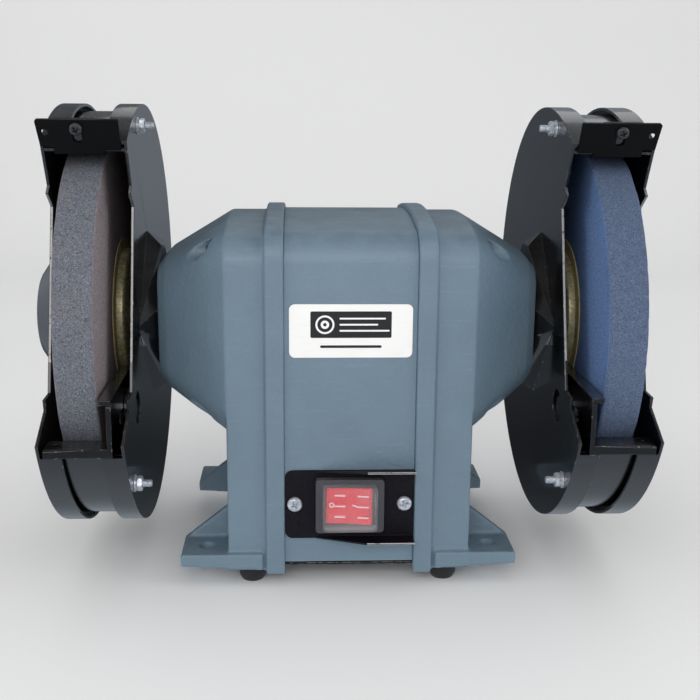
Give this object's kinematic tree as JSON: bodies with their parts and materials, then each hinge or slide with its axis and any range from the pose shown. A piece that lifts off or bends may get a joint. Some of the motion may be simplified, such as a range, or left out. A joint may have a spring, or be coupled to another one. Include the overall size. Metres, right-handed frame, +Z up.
{
  "type": "bench grinder",
  "caption": "Twin-wheel bench grinder: crowned motor body on splayed feet, black wheel guards with tool rests and spark arrestors, red rocker switch.",
  "frame": {"origin": "on the bench under the middle of the machine's overall box", "axes": "+X along the spindle to the user's right, +Y away from the user, +Z up"},
  "size_m": [0.343, 0.2249, 0.255],
  "materials": {
    "body_paint": "slate blue-grey textured enamel",
    "gloss_black": "gloss black enamel on pressed steel, bare at cut edges",
    "black_paint": "black crinkle paint",
    "zinc": "bright zinc plating",
    "yellow_zinc": "yellow-passivated zinc",
    "turned_steel": "turned steel",
    "bearing_steel": "ground bearing steel",
    "lamination": "varnished steel laminations",
    "cast_aluminium": "die-cast aluminium",
    "copper": "enamelled copper wire",
    "capacitor_can": "drawn can",
    "brass": "brass",
    "black_plastic": "moulded nylon",
    "red_plastic": "translucent red",
    "clear_cover": "clear soft cover",
    "label_white": "blank white label",
    "foot_rubber": "moulded rubber",
    "black_screw": "blackened steel",
    "wheel_coarse": "coarse grey vitrified abrasive",
    "wheel_fine": "fine blue-grey vitrified abrasive",
    "blotter": "paper blotter"
  },
  "bodies": {
    "frame": {"casting_left": "body_paint", "casting_right": "body_paint", "centre_shell": "body_paint", "base_cover": "black_paint", "base_screws": "zinc", "rubber_feet": "foot_rubber", "through_bolts": "zinc", "through_bolt_nuts": "zinc", "bearing_outer_rings": "bearing_steel", "bearing_spring_washer": "bearing_steel", "stator_core": "lamination", "stator_windings": "copper", "capacitor": "capacitor_can", "capacitor_clip": "zinc", "cable_gland": "black_plastic", "earth_screw": "brass", "switch_plate": "black_paint", "switch_plate_screws": "zinc", "switch_body": "black_plastic", "switch_terminals": "brass", "rocker_boot": "clear_cover", "label_plate": "label_white", "guard_disc_left": "gloss_black", "guard_disc_right": "gloss_black", "guard_band_left": "gloss_black", "guard_band_right": "gloss_black", "guard_cover_left": "gloss_black", "guard_cover_right": "gloss_black", "guard_screws": "zinc", "cover_screws": "zinc", "cover_nuts": "zinc", "arrestor_screws": "black_screw", "tool_rest_bolts": "black_screw", "tool_rest_nuts": "zinc"},
    "rotor": {"spindle": "turned_steel", "rotor_core": "lamination", "rotor_end_rings": "cast_aluminium", "bearing_inner_rings": "bearing_steel", "bearing_balls": "bearing_steel", "grinding_wheel_left": "wheel_coarse", "grinding_wheel_right": "wheel_fine", "blotters": "blotter", "inner_flanges": "yellow_zinc", "outer_flanges": "yellow_zinc", "spindle_nuts": "zinc"},
    "rocker": {"rocker": "red_plastic"},
    "tool_rest_left": {"tool_rest_left": "gloss_black"},
    "tool_rest_right": {"tool_rest_right": "gloss_black"},
    "spark_arrestor_left": {"spark_arrestor_left": "gloss_black"},
    "spark_arrestor_right": {"spark_arrestor_right": "gloss_black"}
  },
  "joints": [
    {"name": "spindle_turn", "type": "hinge", "parent": "frame", "child": "rotor", "pos_m": [0, -0.00455, 0.138], "axis": [1, 0, 0], "continuous": true},
    {"name": "rocker_tilt", "type": "hinge", "parent": "frame", "child": "rocker", "pos_m": [0, -0.07405, 0.0464], "axis": [0, 0, 1], "range_deg": [0, 16]},
    {"name": "rest_left_slide", "type": "slide", "parent": "frame", "child": "tool_rest_left", "axis": [0, -1, 0], "range_m": [-0.002, 0.015]},
    {"name": "rest_right_slide", "type": "slide", "parent": "frame", "child": "tool_rest_right", "axis": [0, -1, 0], "range_m": [-0.002, 0.015]},
    {"name": "arrestor_left_slide", "type": "slide", "parent": "frame", "child": "spark_arrestor_left", "axis": [0, -0.4462, 0.8949], "range_m": [-0.0008, 0.006]},
    {"name": "arrestor_right_slide", "type": "slide", "parent": "frame", "child": "spark_arrestor_right", "axis": [0, -0.4462, 0.8949], "range_m": [-0.0008, 0.006]}
  ]
}
